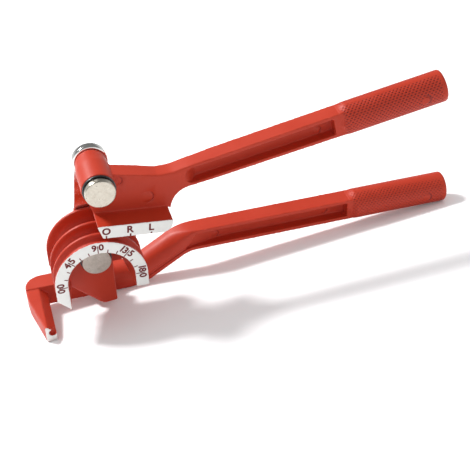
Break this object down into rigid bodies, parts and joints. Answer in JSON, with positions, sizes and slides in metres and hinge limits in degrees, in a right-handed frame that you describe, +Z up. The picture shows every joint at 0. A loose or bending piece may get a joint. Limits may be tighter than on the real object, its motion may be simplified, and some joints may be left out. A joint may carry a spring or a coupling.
{
  "type": "tube bender",
  "caption": "Lever tube bender: a red cast handle carries a grooved half-round die and a hook, and a plated link swings a second handle with a forming shoe round the die.",
  "frame": {"origin": "bottom centre of the bounding box, on the floor the tool rests on", "axes": "+X along the lower handle towards its grip, +Y away from the side with the scale, +Z up from the floor; both pins lean 16 degrees up towards +Y"},
  "size_m": [0.2746, 0.0799, 0.1071],
  "materials": {
    "red_enamel": "red enamel over die-cast aluminium, satin, fine orange peel",
    "white_enamel": "white filled face with dark red marks",
    "plated_link": "bright nickel-chrome plate",
    "plated_pin": "bright plated head with a brushed end face",
    "plain_pin": "dull zinc-plated steel",
    "dark_washer": "black oxide steel",
    "thrust_steel": "ground steel",
    "bush_bronze": "oiled sintered bronze",
    "black_screw": "black oxide steel"
  },
  "bodies": {
    "fixed_side": {"fixed_handle": "red_enamel", "bending_die": "red_enamel", "die_screws": "black_screw", "degree_scale": "white_enamel", "hook_end_coat": "white_enamel", "hub_bush": "bush_bronze"},
    "link": {"link_bar": "plated_link", "die_pin": "plain_pin", "die_pin_washer": "dark_washer", "die_pin_spring": "dark_washer", "die_thrust_washer": "thrust_steel", "handle_pin": "plated_pin", "handle_pin_washer": "dark_washer", "handle_pin_spring": "dark_washer", "handle_thrust_washer": "thrust_steel"},
    "forming_side": {"forming_handle": "red_enamel", "index_strip": "white_enamel", "barrel_bush_front": "bush_bronze", "barrel_bush_rear": "bush_bronze"}
  },
  "joints": [
    {"name": "bend_swing", "type": "hinge", "parent": "fixed_side", "child": "link", "pos_m": [-0.09088, 0.00236, 0.04105], "axis": [0, 0.9615, 0.2749], "range_deg": [-96.2, 83.8]},
    {"name": "handle_lift", "type": "hinge", "parent": "link", "child": "forming_side", "pos_m": [-0.08006, -0.02041, 0.09158], "axis": [0, 0.9615, 0.2749], "range_deg": [-120, 0]}
  ]
}
